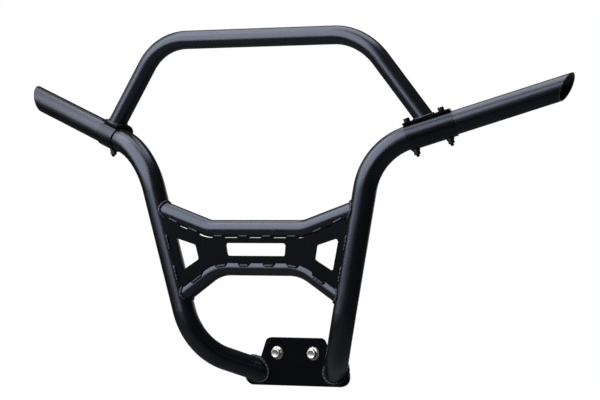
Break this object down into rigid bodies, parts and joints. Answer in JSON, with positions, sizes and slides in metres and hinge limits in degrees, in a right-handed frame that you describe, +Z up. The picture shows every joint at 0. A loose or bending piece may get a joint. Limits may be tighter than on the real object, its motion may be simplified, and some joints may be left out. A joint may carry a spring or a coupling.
{
  "type": "atv front bumper",
  "caption": "Tubular front bumper: two bent side tubes on a mount plate, joined by crossbars with a cut-out panel, under a clamped-on top hoop.",
  "frame": {"origin": "middle of the two mount bolts on the back face of the lower mount plate", "axes": "+X across the vehicle, +Y back to the vehicle, +Z up"},
  "size_m": [0.9982, 0.1637, 0.587],
  "materials": {
    "tube_coat": "satin black powder coat",
    "hoop_coat": "satin black powder coat",
    "panel_coat": "satin black powder coat",
    "clamp_coat": "satin black powder coat",
    "weld_coat": "black powder coat over rippled weld",
    "zinc_steel": "zinc plated",
    "dark_steel": "dull plated",
    "black_oxide": "black oxide"
  },
  "bodies": {
    "root": {"right_side_tube": "tube_coat", "left_side_tube": "tube_coat", "top_hoop": "hoop_coat", "upper_crossbar": "tube_coat", "lower_crossbar": "tube_coat", "center_panel": "panel_coat", "mount_plate": "panel_coat", "mount_bolts": "zinc_steel", "right_clamp_shell": "clamp_coat", "left_clamp_shell": "clamp_coat", "right_clamp_saddle": "clamp_coat", "left_clamp_saddle": "clamp_coat", "clamp_bolts": "black_oxide", "clamp_washers": "zinc_steel", "clamp_nuts": "dark_steel", "upper_crossbar_welds": "weld_coat", "lower_crossbar_welds": "weld_coat", "panel_upper_welds": "weld_coat", "panel_lower_welds": "weld_coat", "panel_side_welds": "weld_coat", "hoop_welds": "weld_coat", "plate_welds": "weld_coat"}
  },
  "joints": []
}
